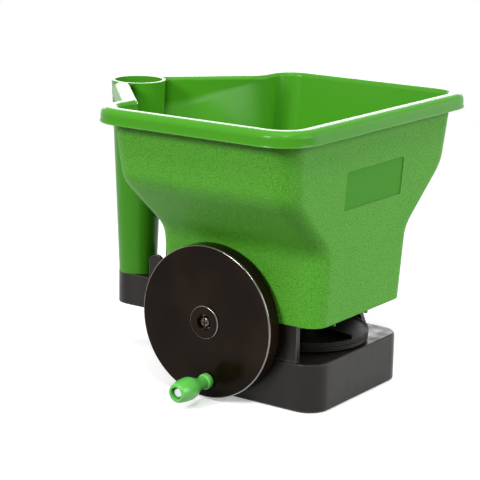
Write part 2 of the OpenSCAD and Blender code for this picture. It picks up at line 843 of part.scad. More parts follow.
module hopper() color(green) {
    difference() {
        union() {
            difference() {
                union() {
                    hopper_block(0, seam_h, wall_top);
                    pocket(lip_flange - wall, 0, wall_top);
                    ears();
                }
                intersection() {
                    hopper_block(wall, seam_h - past, wall_top + past);
                    above_floor(0);
                }
                difference() {
                    hopper_block(wall, seam_h - past, wall_top + past);
                    above_floor(floor_t);
                }
                pocket(lip_flange, wall, rim_h + past);
            }
            tube_taper(0, arm_h, rim_h);
            lip();
            hopper_bosses();
        }
        tube_hollow();
        pivot_bore(pivot_d + 2 * seat_gap);
        label_panel();
        block([-port_w / 2, port_front, floor_low - past], [port_w / 2, port_front + port_l, floor_h + past]);
        at_spin() rod(bush_d + 2 * seat_gap, floor_low - past, floor_low + bush_len + past);
        tail_slot();
        at_each(case_screw_places) rod(case_screw_d + 2 * seat_gap, seam_h - past, case_pilot);
        at_each(guide_screw_places) rod(small_screw_d + 2 * seat_gap, floor_low - past, guide_pilot);
    }
}

// Posts for the case screws, each tied to the side wall of the housing
module housing_posts() {
    web_out = housing_w / 2 - wall_bite;
    for (p = case_screw_places) {
        x = p[0] > 0 ? screw_x : -web_out;
        translate([p[0], p[1], 0]) rod(post_d, tray_h, seam_h);
        block([x, p[1] - post_web_t / 2, tray_h], [x + web_out - screw_x, p[1] + post_web_t / 2, seam_h]);
    }
}

// Side and rear walls of the drive housing, with a tongue that locates the hopper
module housing_walls() {
    y0 = front_y + ledge;
    y1 = rim_y + skirt_l / 2 - skirt_over;
    set_in = wall + slide_gap - skirt_over;
    inside = set_in + tongue_t;
    top = seam_h + tongue_h;
    far_y = front_y + far_set_back;
    difference() {
        union() {
            slab(tray_h, seam_h) rounded_plan(housing_w, y0, y1, base_r);
            slab(seam_h - past, top)
                rounded_plan(housing_w - 2 * set_in, y0 + set_in, y1 - set_in, base_r - set_in);
        }
        slab(tray_h - past, top + past)
            rounded_plan(housing_w - 2 * inside, y0 + inside, y1 - inside, base_r - inside);
        block([-base_w, y0 - past, tray_h - past], [base_w, front_y + near_set_back, top + past]);
        across(0, base_w) polygon([
            [y0 - past, tray_h - past], [far_y - past * tan(far_lean), tray_h - past],
            [far_y + (top + past - tray_h) * tan(far_lean), top + past], [y0 - past, top + past]
        ]);
    }
}

// Arm that runs back under the foot of the handle
module arm_plan(t) {
    y0 = skirt_in_y - wall_bite + t;
    translate([0, tube_y]) circle(d = arm_w - 2 * t);
    translate([-arm_w / 2 + t, y0]) square([arm_w - 2 * t, tube_y - y0]);
}

module arm() {
    difference() {
        slab(tray_h, arm_h) arm_plan(0);
        slab(tray_h - past, arm_h - base_wall) arm_plan(base_wall);
    }
    at_tube() rod(socket_d - 2 * slide_gap, arm_h - past, arm_h + socket_h - slide_gap);
    at_tube() rod(arm_boss_d, arm_seat, arm_h);
    x = tail_w / 2 + slide_gap;
    for (from = [x, -x - cheek_t]) across(from, from + cheek_t) {
        translate([pivot_y, arm_h - past]) square([cheek_l, cheek_h - cheek_l / 2 + past]);
        translate([pivot_y + cheek_l / 2, arm_h + cheek_h - cheek_l / 2]) circle(d = cheek_l);
    }
}

// Lobe on the crank side that carries the axle stub, outside the hopper's skirt
module axle_lobe() {
    point_out(lobe_in, axle_y, axle_h) cylinder(d = lobe_d, h = wheel_in - lobe_in);
    block(
        [-wheel_in, axle_y - lobe_d / 2, tray_h + lobe_step],
        [-housing_w / 2 + wall_bite, axle_y + lobe_d / 2, seam_h - slide_gap]
    );
    point_out(wheel_in - past, axle_y, axle_h) cylinder(d = axle_d, h = axle_out - wheel_in + past);
}

// Tunnel over the lay shaft, from the crank-side wall to the inner bearing
module shaft_tunnel() {
    y0 = spin_y - tunnel_half;
    y1 = spin_y + tunnel_half;
    difference() {
        union() {
            block([-housing_w / 2 + wall_bite, y0, tunnel_low], [-bearing_in, y1, seam_h]);
            block([-bearing_out - cover_tab, y0, tunnel_low], [-bearing_in, y1, tunnel_top]);
        }
        block(
            [-housing_w / 2 + bush_len, y0 + tunnel_wall, tunnel_low - past],
            [-bearing_out, y1 - tunnel_wall, axle_h + clip_d / 2 + clip_room]
        );
    }
}

module drive_housing() color(black) {
    difference() {
        union() {
            housing_walls();
            housing_posts();
            arm();
            axle_lobe();
            shaft_tunnel();
        }
        at_each(case_screw_places) rod(case_screw_d + 2 * screw_gap, tray_h - past, seam_h + past);
        at_tube() rod(handle_screw_d + 2 * screw_gap, tray_h, arm_h + socket_h);
        point_out(bearing_in - past, spin_y, axle_h)
            cylinder(d = bush_d + 2 * seat_gap, h = bearing_out - bearing_in + 2 * past);
        point_out(housing_w / 2 - bush_len - past, spin_y, axle_h)
            cylinder(d = bush_d + 2 * seat_gap, h = bush_len + 2 * past);
        point_out(axle_out - axle_screw_l, axle_y, axle_h)
            cylinder(d = axle_screw_d + 2 * seat_gap, h = axle_screw_l + past);
        at_each(cover_screw_places)
            rod(small_screw_d + 2 * seat_gap, tunnel_top - cover_screw_hold - past, tunnel_top + past);
    }
}

// Tray: an upturned box with rounded edges, open below and ribbed inside
module tray_block() {
    levels = concat(
        [[tray_foot, 0], [0, tray_foot]],
        arc([tray_edge_r, tray_h - tray_edge_r], tray_edge_r, 180, 90, edge_steps)
    );
    translate([0, (tray_back - base_front) / 2, 0]) loft([
        for (p = levels)
            plan_ring(base_w - 2 * p[0], base_front + tray_back - 2 * p[0], base_r - p[0], p[1])
    ]);
}

module tray_ribs() {
    low = deck_low - rib_h;
    for (x = [-rib_x, rib_x]) block([x - rib_t / 2, front_y, low], [x + rib_t / 2, rear_y, tray_h]);
    for (y = rib_places) block([-base_w / 2, y - rib_t / 2, low], [base_w / 2, y + rib_t / 2, tray_h]);
}

module base_tray() color(black) {
    difference() {
        tray_block();
        difference() {
            slab(-past, deck_low) rounded_plan(
                base_w - 2 * base_wall, front_y + base_wall, rear_y - base_wall, base_r - base_wall);
            tray_ribs();
            at_spin() rod(bush_d + 2 * boss_wall, tray_h - bush_len, tray_h);
            at_each(case_screw_places) rod(post_d, case_seat, tray_h);
        }
        at_spin() rod(bush_d + 2 * seat_gap, tray_h - bush_len - past, tray_h + past);
        at_each(case_screw_places) rod(case_screw_d + 2 * screw_gap, case_seat - past, tray_h + past);
        at_each(case_screw_places) rod(post_d, case_seat - rib_h, case_seat);
    }
}

module case_screws() color(steel) at_each(case_screw_places) translate([0, 0, case_seat])
    pan_screw(case_screw_d, case_pilot - tip_room - case_seat, case_head_d, head_t);

module handle_screw() color(steel) at_tube() translate([0, 0, arm_seat])
    pan_screw(handle_screw_d, handle_pilot - tip_room - arm_seat, handle_head_d, head_t);

// Crank wheel: a shallow cup with teeth inside its skirt and a raised ring round the hub
module wheel_cup() {
    r = wheel_d / 2;
    inner = ring_root_r + ring_wall;
    web = wheel_w - web_t;
    rotate_extrude($fn = fine) polygon(concat(
        [[0, web], [inner, web], [inner, 0], [r - skirt_ease, 0], [r, skirt_ease]],
        arc([r - wheel_edge_r, wheel_w - wheel_edge_r], wheel_edge_r, 0, 90, edge_steps),
        [[0, wheel_w]]
    ));
    hub_top = [hub_ring_d / 2 - hub_edge_r, wheel_w + hub_ring_t - hub_edge_r];
    rotate_extrude() polygon(concat(
        [[0, turn_gap], [hub_d / 2, turn_gap], [hub_d / 2, web], [hub_ring_d / 2, web]],
        arc(hub_top, hub_edge_r, 0, 90, edge_steps),
        [[0, wheel_w + hub_ring_t]]
    ));
    for (i = [0:spoke_count - 1]) rotate(360 * (i + 0.5) / spoke_count)
        block([hub_d / 2 - past, -spoke_t / 2, spoke_in], [spoke_reach, spoke_t / 2, web + eps]);
}

module crank_wheel() color(black) point_out(wheel_in, axle_y, axle_h) difference() {
    union() {
        wheel_cup();
        slab(ring_in, wheel_w - web_t + eps) difference() {
            circle(ring_root_r + ring_wall + eps, $fn = fine);
            rotate(-90) toothed(ring_r, ring_teeth, ring_r - ring_tip * tooth_m, ring_root_r, -backlash);
        }
    }
    rod(axle_d + 2 * run_gap, -past, wheel_w);
    rod(hub_hole_d, axle_out - wheel_in - end_gap, wheel_w + hub_ring_t + past);
    translate([knob_z - axle_h, knob_y - axle_y, 0])
        rod(knob_pin_d + 2 * seat_gap, -past, wheel_w + past);
}

module wheel_washer() color(steel) point_out(axle_out, axle_y, axle_h) difference() {
    cylinder(d = hub_hole_d - 2 * slide_gap, h = washer_t);
    rod(axle_screw_d + 2 * screw_gap, -past, washer_t + past);
}

module wheel_screw() color(steel) point_out(axle_out + washer_t, axle_y, axle_h) rotate([180, 0, 0])
    pan_screw(axle_screw_d, axle_screw_l, axle_head_d, head_t);

// Knob: a collar at the wheel, a neck and a full grip with a recessed end
module crank_knob() color(green) point_out(wheel_out + knob_gap, knob_y, knob_z) difference() {
    full = knob_neck_l + (knob_len - knob_neck_l) * knob_swell;
    rotate_extrude() polygon(concat(
        [[0, 0]],
        arc([knob_collar_d / 2 - collar_foot_r, collar_foot_r], collar_foot_r, -90, 0, edge_steps),
        arc([knob_collar_d / 2 - collar_top_r, collar_h], collar_top_r, 0, 60, edge_steps),
        [
            for (i = [0:knob_steps])
                let (u = i / knob_steps, swell = (1 - cos(180 * u)) / 2)
                [(knob_neck_d + (knob_d - knob_neck_d) * swell) / 2, knob_neck_l + (full - knob_neck_l) * u]
        ],
        [
            for (i = [1:knob_steps])
                let (a = 90 * i / knob_steps)
                [(knob_end_d + (knob_d - knob_end_d) * cos(a)) / 2, full + (knob_len - full) * sin(a)]
        ],
        [[0, knob_len]]
    ));
    rod(knob_pin_d + 2 * run_gap, -past, knob_len);
    rod(knob_recess_d, knob_len - knob_recess, knob_len + past);
}

module knob_pin() color(steel) point_out(wheel_out - web_t, knob_y, knob_z) {
    cap_z = web_t + knob_gap + knob_len - knob_recess + slide_gap;
    rod(pin_head_d, -pin_head_t, 0);
    rod(knob_pin_d, -eps, cap_z + eps);
    translate([0, 0, cap_z]) rotate_extrude()
        polygon(concat([[0, 0]], arc([pin_cap_d / 2 - pin_cap_t, 0], pin_cap_t, 0, 90, 6), [[0, pin_cap_t]]));
}

module lay_shaft() color(steel) point_out(bevel_in - shaft_past, spin_y, axle_h)
    rod(shaft_d, 0, pinion_out + slide_gap - bevel_in + shaft_past);

module pinion() color(nylon) point_out(pinion_in, spin_y, axle_h) difference() {
    hub_in = housing_w / 2 + collar_t + slide_gap - pinion_in;
    union() {
        slab(0, pinion_out - pinion_in) rotate(-90)
            toothed(pinion_r, pinion_teeth, pinion_r - tooth_root * tooth_m, pinion_tip_r, backlash);
        rod(pinion_hub_d, hub_in, eps);
    }
    rod(shaft_d + 2 * seat_gap, hub_in - past, pinion_out - pinion_in + past);
}

module lay_clip() color(steel) point_out(housing_w / 2 - bush_len - slide_gap - clip_t, spin_y, axle_h)
    difference() {
        rod(clip_d, 0, clip_t);
        rod(shaft_d + 2 * seat_gap, -past, clip_t + past);
    }

module bevel_pinion() color(nylon) translate([0, spin_y, axle_h]) rotate([0, 90, 0])
    bevel_gear(bevel_hub_d, bearing_in - collar_t - slide_gap - bevel_r);

module disc_gear() color(nylon) translate([0, spin_y, axle_h]) rotate(180 / bevel_teeth)
    bevel_gear(disc_gear_hub_d, axle_h - bevel_r - disc_h - disc_hub_rise - turn_gap);

// One flanged bush, its collar below the seat
module bush() {
    difference() {
        union() {
            rod(bush_d, 0, bush_len);
            rod(collar_d, -collar_t, 0);
        }
        rod(shaft_d + 2 * run_gap, -collar_t - past, bush_len + past);
    }
}

module shaft_bushes() color(nylon) {
    point_out(housing_w / 2, spin_y, axle_h) rotate([180, 0, 0]) bush();
    point_out(bearing_in, spin_y, axle_h) bush();
    at_spin() translate([0, 0, floor_low]) bush();
    at_spin() translate([0, 0, tray_h]) rotate([180, 0, 0]) bush();
}

// Hood over the bevel gears, with a tab on the end of the shaft tunnel
module gear_cover() color(black) difference() {
    y0 = spin_y - tunnel_half;
    y1 = spin_y + tunnel_half;
    union() {
        block([end_gap - bearing_in, y0, tunnel_low], [cover_reach, y1, cover_top]);
        block([end_gap - bearing_out - cover_tab, y0, tunnel_top], [cover_reach, y1, cover_top]);
    }
    block(
        [end_gap - bearing_in - eps, y0 + cover_t, tunnel_low - past],
        [cover_reach - cover_t, y1 - cover_t, cover_top - cover_t]
    );
    at_spin() rod(shaft_d + 2 * shaft_room, tunnel_low, cover_top + past);
    at_each(cover_screw_places) rod(small_screw_d + 2 * screw_gap, tunnel_top - past, cover_top + past);
}

module cover_screws() color(steel) at_each(cover_screw_places) translate([0, 0, cover_top])
    rotate([180, 0, 0])
    pan_screw(small_screw_d, cover_top - tunnel_top + cover_screw_hold, small_head_d, small_head_t);

// Throwing disc: a dish with a thin upturned edge, a groove round its rim, and vanes on top
module throwing_disc() color(black) at_spin() difference() {
    skirt_in = disc_r - 2 * groove_deep;
    groove_top = disc_h - groove_deep;
    union() {
        rotate_extrude($fn = fine) polygon([
            [0, disc_h - disc_t], [skirt_in, disc_h - disc_t], [skirt_in, disc_low],
            [disc_r - skirt_step, disc_low], [disc_r - skirt_step, groove_top - groove_h],
            [disc_r - groove_deep, groove_top - groove_h], [disc_r - groove_deep, groove_top],
            [disc_r, groove_top], [disc_r, disc_h + disc_edge], [disc_r - disc_edge_t, disc_h + disc_edge],
            [disc_r - 2 * disc_edge_t, disc_h], [0, disc_h]
        ]);
        rod(disc_hub_d, tray_h + collar_t + turn_gap, disc_h + disc_hub_rise);
        for (i = [0:vanes - 1]) rotate(vane_turn + 360 * i / vanes) {
            across(vane_from, disc_r - disc_edge_t) polygon([
                [-vane_t / 2, disc_h - eps], [vane_t / 2, disc_h - eps],
                [vane_t / 2 - vane_draft, disc_h + vane_h], [vane_draft - vane_t / 2, disc_h + vane_h]
            ]);
            block(
                [vane_from, -vane_t / 2, disc_low + past],
                [skirt_in + eps, vane_t / 2, disc_h - disc_t + eps]
            );
        }
    }
    rod(disc_eye_d, disc_h + disc_hub_rise, disc_h + vane_h + past);
    rod(shaft_d + 2 * seat_gap, tray_h, disc_h + vane_h);
}

module disc_shaft() color(steel) at_spin()
    rod(shaft_d, tray_h - bush_len - shaft_tail, stir_low + stir_h - stir_roof - turn_gap);

module disc_clip() color(steel) at_spin() difference() {
    top = tray_h - bush_len - slide_gap;
    rod(clip_d, top - clip_t, top);
    rod(shaft_d + 2 * seat_gap, top - clip_t - past, top + past);
}

// Agitator: a hub with two rising fingers that sweep over the port
module agitator() color(black) at_spin() translate([0, 0, stir_low]) difference() {
    finger_l = stir_reach - finger_root - finger_tip_d / 2;
    hub_top = [stir_d / 2 - stir_edge_r, stir_h - stir_edge_r];
    union() {
        rotate_extrude() polygon(concat(
            [[0, 0], [stir_d / 2, 0]], arc(hub_top, stir_edge_r, 0, 90, edge_steps), [[0, stir_h]]
        ));
        for (a = [0, 180]) rotate(a) translate([finger_root, 0, finger_h]) rotate([0, finger_lean, 0]) {
            cylinder(d1 = finger_d, d2 = finger_tip_d, h = finger_l, $fn = coarse);
            translate([0, 0, finger_l]) sphere(d = finger_tip_d, $fn = coarse);
        }
    }
    rod(shaft_d + 2 * seat_gap, -past, stir_h - stir_roof);
}

// Shutter: a plate under the port, with a tail to the trigger and a tab for the spring
module shutter() color(black) difference() {
    window = trigger_w / 2 + slide_gap;
    union() {
        block([-shutter_w / 2, shutter_front, shutter_low], [shutter_w / 2, tail_from, shutter_top]);
        block(
            [-tail_w / 2, tail_from - past, shutter_low],
            [tail_w / 2, tip_front + tip_t + tail_end, shutter_top]
        );
        block([-tab_w / 2, tab_y, shutter_low], [tab_w / 2, tab_y + tab_t, spring_z + spring_d / 2]);
        translate([0, tab_y + tab_t - eps, spring_z]) rotate([-90, 0, 0])
            cylinder(d = spring_seat_d, h = tab_seat_l);
    }
    block(
        [-window, tip_front - tip_play, shutter_low - past],
        [window, tip_front + tip_t + tip_play, shutter_top + past]
    );
}

// Guide frame under the shutter, screwed to the hopper floor through its two rails
module shutter_guide() color(nylon) difference() {
    rail_x = shutter_w / 2 + slide_gap;
    union() {
        block([-guide_w / 2, guide_from, guide_low], [guide_w / 2, guide_to, guide_low + guide_t]);
        for (x = [-guide_w / 2, rail_x]) block([x, guide_from, guide_low], [x + rail_w, guide_to, floor_low]);
    }
    block(
        [-port_w / 2, guide_from - past, guide_low - past],
        [port_w / 2, port_front + port_l, guide_low + guide_t + past]
    );
    at_each(guide_screw_places) rod(small_screw_d + 2 * screw_gap, guide_low - past, floor_h);
}

module guide_screws() color(steel) at_each(guide_screw_places) translate([0, 0, guide_low])
    pan_screw(small_screw_d, guide_pilot - tip_room - guide_low, small_head_d, small_head_t);

// Trigger: a lever that hangs from its pin in front of the handle
module trigger() color(black) difference() {
    bow = [pivot_y - finger_bow, pivot_h - finger_drop];
    tip_top = shutter_top + tip_rise;
    across(-trigger_w / 2, trigger_w / 2) {
        hull() {
            translate([pivot_y, pivot_h]) circle(d = trigger_top_t, $fn = coarse);
            translate(bow) circle(d = trigger_mid_t, $fn = coarse);
        }
        hull() {
            translate(bow) circle(d = trigger_mid_t, $fn = coarse);
            translate([tip_front + tip_t / 2, tip_top]) circle(d = tip_t, $fn = coarse);
        }
        translate([tip_front, shutter_low - tip_past]) square([tip_t, tip_top - shutter_low + tip_past]);
    }
    pivot_bore(pivot_d + 2 * run_gap);
}

module trigger_pin() color(steel) {
    end = ear_gap + ear_t + pin_over;
    across(-end, end) translate([pivot_y, pivot_h]) circle(d = pivot_d);
}

// Return spring: one unbroken wire along Y
module return_spring() color(steel) loft([for (i = [0:spring_steps]) spring_ring(i)]);

echo(spring_gap = spring_run / spring_turns - spring_wire);
echo(trigger_swing = atan(travel / lever_throw));

hopper();
drive_housing();
base_tray();
case_screws();
handle_screw();
crank_wheel();
wheel_washer();
wheel_screw();
crank_knob();
knob_pin();
pinion();
lay_shaft();
lay_clip();
bevel_pinion();
shaft_bushes();
gear_cover();
cover_screws();
throwing_disc();
disc_shaft();
disc_clip();
disc_gear();
agitator();
shutter();
shutter_guide();
guide_screws();
trigger();
trigger_pin();
return_spring();
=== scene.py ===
"""Looks of the hand spreader: green hopper, satin black base, glossy crank wheel and its drive."""
import json
import math

import bmesh
import bpy
from mathutils import Matrix, Vector


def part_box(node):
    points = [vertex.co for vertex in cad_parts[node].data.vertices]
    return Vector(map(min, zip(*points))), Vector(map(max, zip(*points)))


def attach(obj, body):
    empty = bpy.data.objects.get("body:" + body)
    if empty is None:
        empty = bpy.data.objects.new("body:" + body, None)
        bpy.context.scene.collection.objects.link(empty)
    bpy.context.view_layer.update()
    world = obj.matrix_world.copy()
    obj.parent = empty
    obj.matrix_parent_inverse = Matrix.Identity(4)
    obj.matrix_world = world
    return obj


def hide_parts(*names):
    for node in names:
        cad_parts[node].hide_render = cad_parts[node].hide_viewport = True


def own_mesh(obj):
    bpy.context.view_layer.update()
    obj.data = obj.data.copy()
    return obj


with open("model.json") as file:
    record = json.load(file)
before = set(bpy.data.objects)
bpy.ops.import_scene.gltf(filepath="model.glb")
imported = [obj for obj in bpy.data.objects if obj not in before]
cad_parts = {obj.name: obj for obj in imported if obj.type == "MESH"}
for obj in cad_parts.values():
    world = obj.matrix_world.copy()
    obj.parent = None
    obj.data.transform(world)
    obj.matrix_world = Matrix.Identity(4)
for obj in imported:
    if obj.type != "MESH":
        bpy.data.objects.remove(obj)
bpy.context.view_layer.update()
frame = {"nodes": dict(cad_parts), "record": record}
nodes = frame["nodes"]
SLOT = {s["node"]: s["material_slot"] for s in frame["record"]["subparts"]}
BODY = {n: b for b, names in frame["record"]["behaviour"]["bodies"].items() for n in names}

MM = 0.001
WHITE, BLACK = (1, 1, 1, 1), (0, 0, 0, 1)

# The photograph's viewpoint, fitted to the rim, the wheel and the base; angles in degrees
CAMERA_AZIMUTH, CAMERA_ELEVATION, CAMERA_ROLL = -54.753, 13.751, 0.984
CAMERA_AT = (-1.0024, -0.7032, 0.3970)
CAMERA_LENS, CAMERA_SENSOR = 130.2, 36

# Places that tell one surface of the hopper or the wheel from another
RIM_Y, LIP_Z = -34.125 * MM, 194 * MM
POCKET_Y = 45 * MM
TUBE_Y, TUBE_REACH = 99.875 * MM, 21 * MM
PANEL_Y, PANEL_Z = -100 * MM, 154 * MM
PANEL_HALF_W, PANEL_HALF_H = 37.1 * MM, 13.6 * MM
WHEEL_Y, WHEEL_Z, WHEEL_FACE_X = -17.525 * MM, 55.3 * MM, -71 * MM
HUB_R = 8 * MM
LEVEL_NZ = 0.9
EDGE_NX_LOW, EDGE_NX_HIGH = 0.15, 0.97

# Mesh clean-up: distances in metres, angles in degrees
WELD = 2e-6
FLAT_ANGLE, SHARP_ANGLE, EASE_ANGLE = 0.3, 32, 50
EASE_MM = 0.4

GREEN_LOW, GREEN_HIGH = "#4c9724", "#529e28"
SMOOTH_LOW, SMOOTH_HIGH, GREEN_PANEL = "#42911b", "#489720", "#3f9118"
PEBBLE_MM = 0.9
GRAIN, SMOOTH = 0, 1  # the hopper's two materials

# Nodes by the finish of their mesh
EASED = ("drive_housing", "base_tray", "gear_cover", "shutter", "shutter_guide", "trigger")
DULL_SHADE_DARKENED = ("throwing_disc", "agitator")
PLAIN = (
    "crank_knob", "wheel_screw", "wheel_washer",
    "case_screws", "handle_screw", "cover_screws", "guide_screws", "knob_pin",
    "pinion", "bevel_pinion", "disc_gear", "shaft_bushes", "lay_shaft", "disc_shaft", "trigger_pin",
)

# Stage: name, place, size and watts of each lamp, then the world and the floor
LAMP_AIM = (0, 0, 0.1)
LAMPS = (
    ("left", (-2.0, 0.4, 1.2), (0.6, 0.6), 38),
    ("key", (-1.0, -0.9, 1.7), (0.4, 0.4), 13),
    ("front", (0.45, -2.0, 0.85), (1.3, 1.1), 22),
    ("top", (-0.3, -0.2, 2.4), (1.8, 1.8), 24),
    ("low_right", (1.7, -1.3, 0.3), (1.8, 1.0), 7),
    ("back", (2.0, 1.5, 0.62), (2.2, 0.6), 16),
)
WORLD_LIGHT = 0.15
FLOOR_R, FLOOR_Z = 2.6, -0.0005
FLOOR_SHOWN, FLOOR_LIT = (0.95, 0.95, 0.95, 1), (0.2, 0.2, 0.2, 1)
FLOOR_GLOW = 0.38
FADE_REACH = 2.5
FADE_FROM, FADE_TO = 0.08, 0.34  # shares of that reach

# Node helpers


def add(tree, kind, **inputs):
    """A shader node; a keyword is an input socket's name with underscores, or a property."""
    n = tree.nodes.new(kind)
    for key, value in inputs.items():
        name = key.replace("_", " ")
        if name in n.inputs:
            put(tree, n.inputs[name], value)
        else:
            setattr(n, key, value)
    return n


def put(tree, socket, value):
    """Links a socket to another one's output, or sets its plain value."""
    if isinstance(value, bpy.types.NodeSocket):
        tree.links.new(value, socket)
    else:
        socket.default_value = value


def rgba(hexa, gain=1.0):
    """An sRGB hex colour as a linear one."""
    out = []
    for i in (1, 3, 5):
        c = int(hexa[i:i + 2], 16) / 255
        out.append(gain * (c / 12.92 if c <= 0.04045 else ((c + 0.055) / 1.055) ** 2.4))
    return (*out, 1)


def math_node(tree, op, a, b, clamp=False):
    n = add(tree, "ShaderNodeMath", operation=op, use_clamp=clamp)
    put(tree, n.inputs[0], a)
    put(tree, n.inputs[1], b)
    return n.outputs[0]


def plus(tree, a, b):
    return math_node(tree, "ADD", a, b)


def times(tree, a, b):
    return math_node(tree, "MULTIPLY", a, b)


def ramp(tree, fac, low, high, low_colour=BLACK, high_colour=WHITE):
    """Blends from one colour to another while a value goes from low to high."""
    n = tree.nodes.new("ShaderNodeValToRGB")
    tree.links.new(fac, n.inputs[0])
    stops = ((low, low_colour), (high, high_colour))
    for element, (place, colour) in zip(n.color_ramp.elements, stops):
        element.position = place
        element.color = colour
    return n.outputs[0]


def mix(tree, fac, a, b, blend="MIX"):
    """Mixes two colours: inputs 6 and 7 and output 2 are the Mix node's colour sockets."""
    n = add(tree, "ShaderNodeMix", data_type="RGBA", blend_type=blend)
    for i, v in ((0, fac), (6, a), (7, b)):
        put(tree, n.inputs[i], v)
    return n.outputs[2]


def vector_math(tree, op, a, b=None):
    n = add(tree, "ShaderNodeVectorMath", operation=op)
    tree.links.new(a, n.inputs[0])
    if b is not None:
        tree.links.new(b, n.inputs[1])
    return n.outputs["Value"]


def new_material(name):
    """A material, its node tree, its shader and the place on the object: m, t, b, p below."""
    m = bpy.data.materials.new(name)
    m.use_nodes = True
    t = m.node_tree
    t.nodes.clear()
    out = t.nodes.new("ShaderNodeOutputMaterial")
    bsdf = t.nodes.new("ShaderNodeBsdfPrincipled")
    t.links.new(bsdf.outputs[0], out.inputs[0])
    where = t.nodes.new("ShaderNodeTexCoord").outputs["Object"]
    return m, t, bsdf, where


def noise(tree, where, size_mm, detail=3.0, rough=0.5):
    scale = 1000 / size_mm
    n = add(tree, "ShaderNodeTexNoise", Vector=where, Scale=scale, Detail=detail, Roughness=rough)
    return n.outputs[0]


def drawn_noise(tree, where, z_scale, scale):
    """Noise drawn out (z_scale below 1) or pressed together (above 1) along the height."""
    n = add(tree, "ShaderNodeMapping", Vector=where, Scale=(1, 1, z_scale))
    return add(tree, "ShaderNodeTexNoise", Vector=n.outputs[0], Scale=scale, Detail=3.0).outputs[0]


def attribute(tree, name):
    return add(tree, "ShaderNodeAttribute", attribute_name=name).outputs["Fac"]


# Surface helpers


def edge_wear_and_highlight(t, colour, pale, radius_mm, share):
    """A colour made paler along edges, where a rounded normal turns away from the true one: partly
    rubbed wear, partly a painted highlight.
    """
    soft = add(t, "ShaderNodeBevel", Radius=radius_mm * MM, samples=4)
    geo = t.nodes.new("ShaderNodeNewGeometry")
    turn = vector_math(t, "DOT_PRODUCT", soft.outputs[0], geo.outputs["Normal"])
    edge = ramp(t, turn, 0.8, 1.0, WHITE, BLACK)
    return mix(t, times(t, edge, share), colour, rgba(pale))


def shaded(t, colour, tint, depth_mm, low, high):
    """Painted shade: a colour multiplied by a dark tint deep in the corners of the same piece."""
    n = add(t, "ShaderNodeAmbientOcclusion", Distance=depth_mm * MM, samples=8, only_local=True)
    dark = mix(t, 1.0, colour, (*tint, 1), "MULTIPLY")
    return mix(t, ramp(t, n.outputs["AO"], low, high), dark, colour)


def wander(t, where, size_mm, low, spread):
    """A value that wanders a little over the surface, as gloss does on handled mouldings."""
    return plus(t, times(t, noise(t, where, size_mm, 4, 0.6), spread), low)


def bumped(t, b, height, strength, depth_mm):
    n = add(t, "ShaderNodeBump", Strength=strength, Distance=depth_mm * MM, Height=height)
    t.links.new(n.outputs[0], b.inputs["Normal"])


def finish(t, b, colour, roughness):
    t.links.new(colour, b.inputs["Base Color"])
    t.links.new(roughness, b.inputs["Roughness"])


# Materials


def green_grain():
    """Polypropylene with a pebbled grain, on the outer walls; the pebble tops carry painted
    highlights and the corners painted shade.
    """
    m, t, b, p = new_material("green_plastic")
    col = mix(t, noise(t, p, 70, 2), rgba(GREEN_LOW), rgba(GREEN_HIGH))
    cell = add(t, "ShaderNodeTexVoronoi", Vector=p, Scale=1000 / PEBBLE_MM, Randomness=1.0)
    pebble = math_node(t, "SUBTRACT", 1.0, cell.outputs["Distance"], clamp=True)
    skin = plus(t, times(t, pebble, 0.75), times(t, noise(t, p, 0.8, 2), 0.25))
    # grain tone; the lighter, whiter pebble tops are a painted highlight
    grain_tone_and_glint = ramp(t, skin, 0.36, 0.8, (0.88, 0.91, 0.86, 1), (1.5, 1.45, 1.6, 1))
    col = mix(t, 1.0, col, grain_tone_and_glint, "MULTIPLY")
    # painted shade: the colour is multiplied towards dark green deep in the corners, as under the
    # rim lip
    col = shaded(t, col, (0.08, 0.16, 0.04), depth_mm=10, low=0.68, high=0.97)
    finish(t, b, col, wander(t, p, 9, low=0.47, spread=0.1))
    b.inputs["Specular IOR Level"].default_value = 0.24
    bumped(t, b, skin, strength=1.0, depth_mm=0.4)
    return m


def green_smooth():
    """The same plastic without grain, on the rim, the tube, the label panel and inside."""
    m, t, b, p = new_material("green_smooth")
    panel = attribute(t, "panel")
    col = mix(t, noise(t, p, 45, 3), rgba(SMOOTH_LOW), rgba(SMOOTH_HIGH))
    col = mix(t, panel, col, rgba(GREEN_PANEL))
    # painted shade: the colour is multiplied towards a dark tint deep in the corners
    col = shaded(t, col, (0.2, 0.35, 0.15), depth_mm=9, low=0.6, high=0.95)
    # paler edges: wear and a painted highlight line along the rim
    col = edge_wear_and_highlight(t, col, "#8cc46c", radius_mm=0.8, share=0.75)
    scuff = wander(t, p, 9, low=0.19, spread=0.1)
    finish(t, b, col, plus(t, scuff, times(t, panel, 0.25)))
    b.inputs["Specular IOR Level"].default_value = 0.14
    bumped(t, b, drawn_noise(t, p, 6.0, 60.0), strength=0.2, depth_mm=0.2)
    return m


def gloss_green():
    """Smooth bright green plastic of the knob."""
    m, t, b, p = new_material("green_knob")
    col = mix(t, noise(t, p, 12, 2), rgba("#5cbd4c"), rgba("#66c858"))
    finish(t, b, col, wander(t, p, 4, low=0.2, spread=0.1))
    bumped(t, b, noise(t, p, 3, 2), strength=0.12, depth_mm=0.2)
    return m


def satin_black():
    """Moulded black plastic with drawn streaks and a fine skin, paler along its edges as wear and
    painted highlight.
    """
    m, t, b, p = new_material("black_plastic")
    streak = ramp(t, drawn_noise(t, p, 0.03, 110.0), 0.3, 0.7)
    shade = plus(t, times(t, streak, 0.6), times(t, noise(t, p, 30, 3), 0.4))
    col = mix(t, shade, rgba("#0a0807"), rgba("#211d19"))
    # paler edges: wear and a painted highlight line
    col = edge_wear_and_highlight(t, col, "#75706a", radius_mm=1.2, share=0.6)
    sheen = times(t, plus(t, streak, noise(t, p, 14, 4)), 0.2)
    finish(t, b, col, plus(t, sheen, 0.16))
    b.inputs["Specular IOR Level"].default_value = 0.23
    bumped(t, b, noise(t, p, 0.9, 2, 0.6), strength=0.22, depth_mm=0.1)
    return m


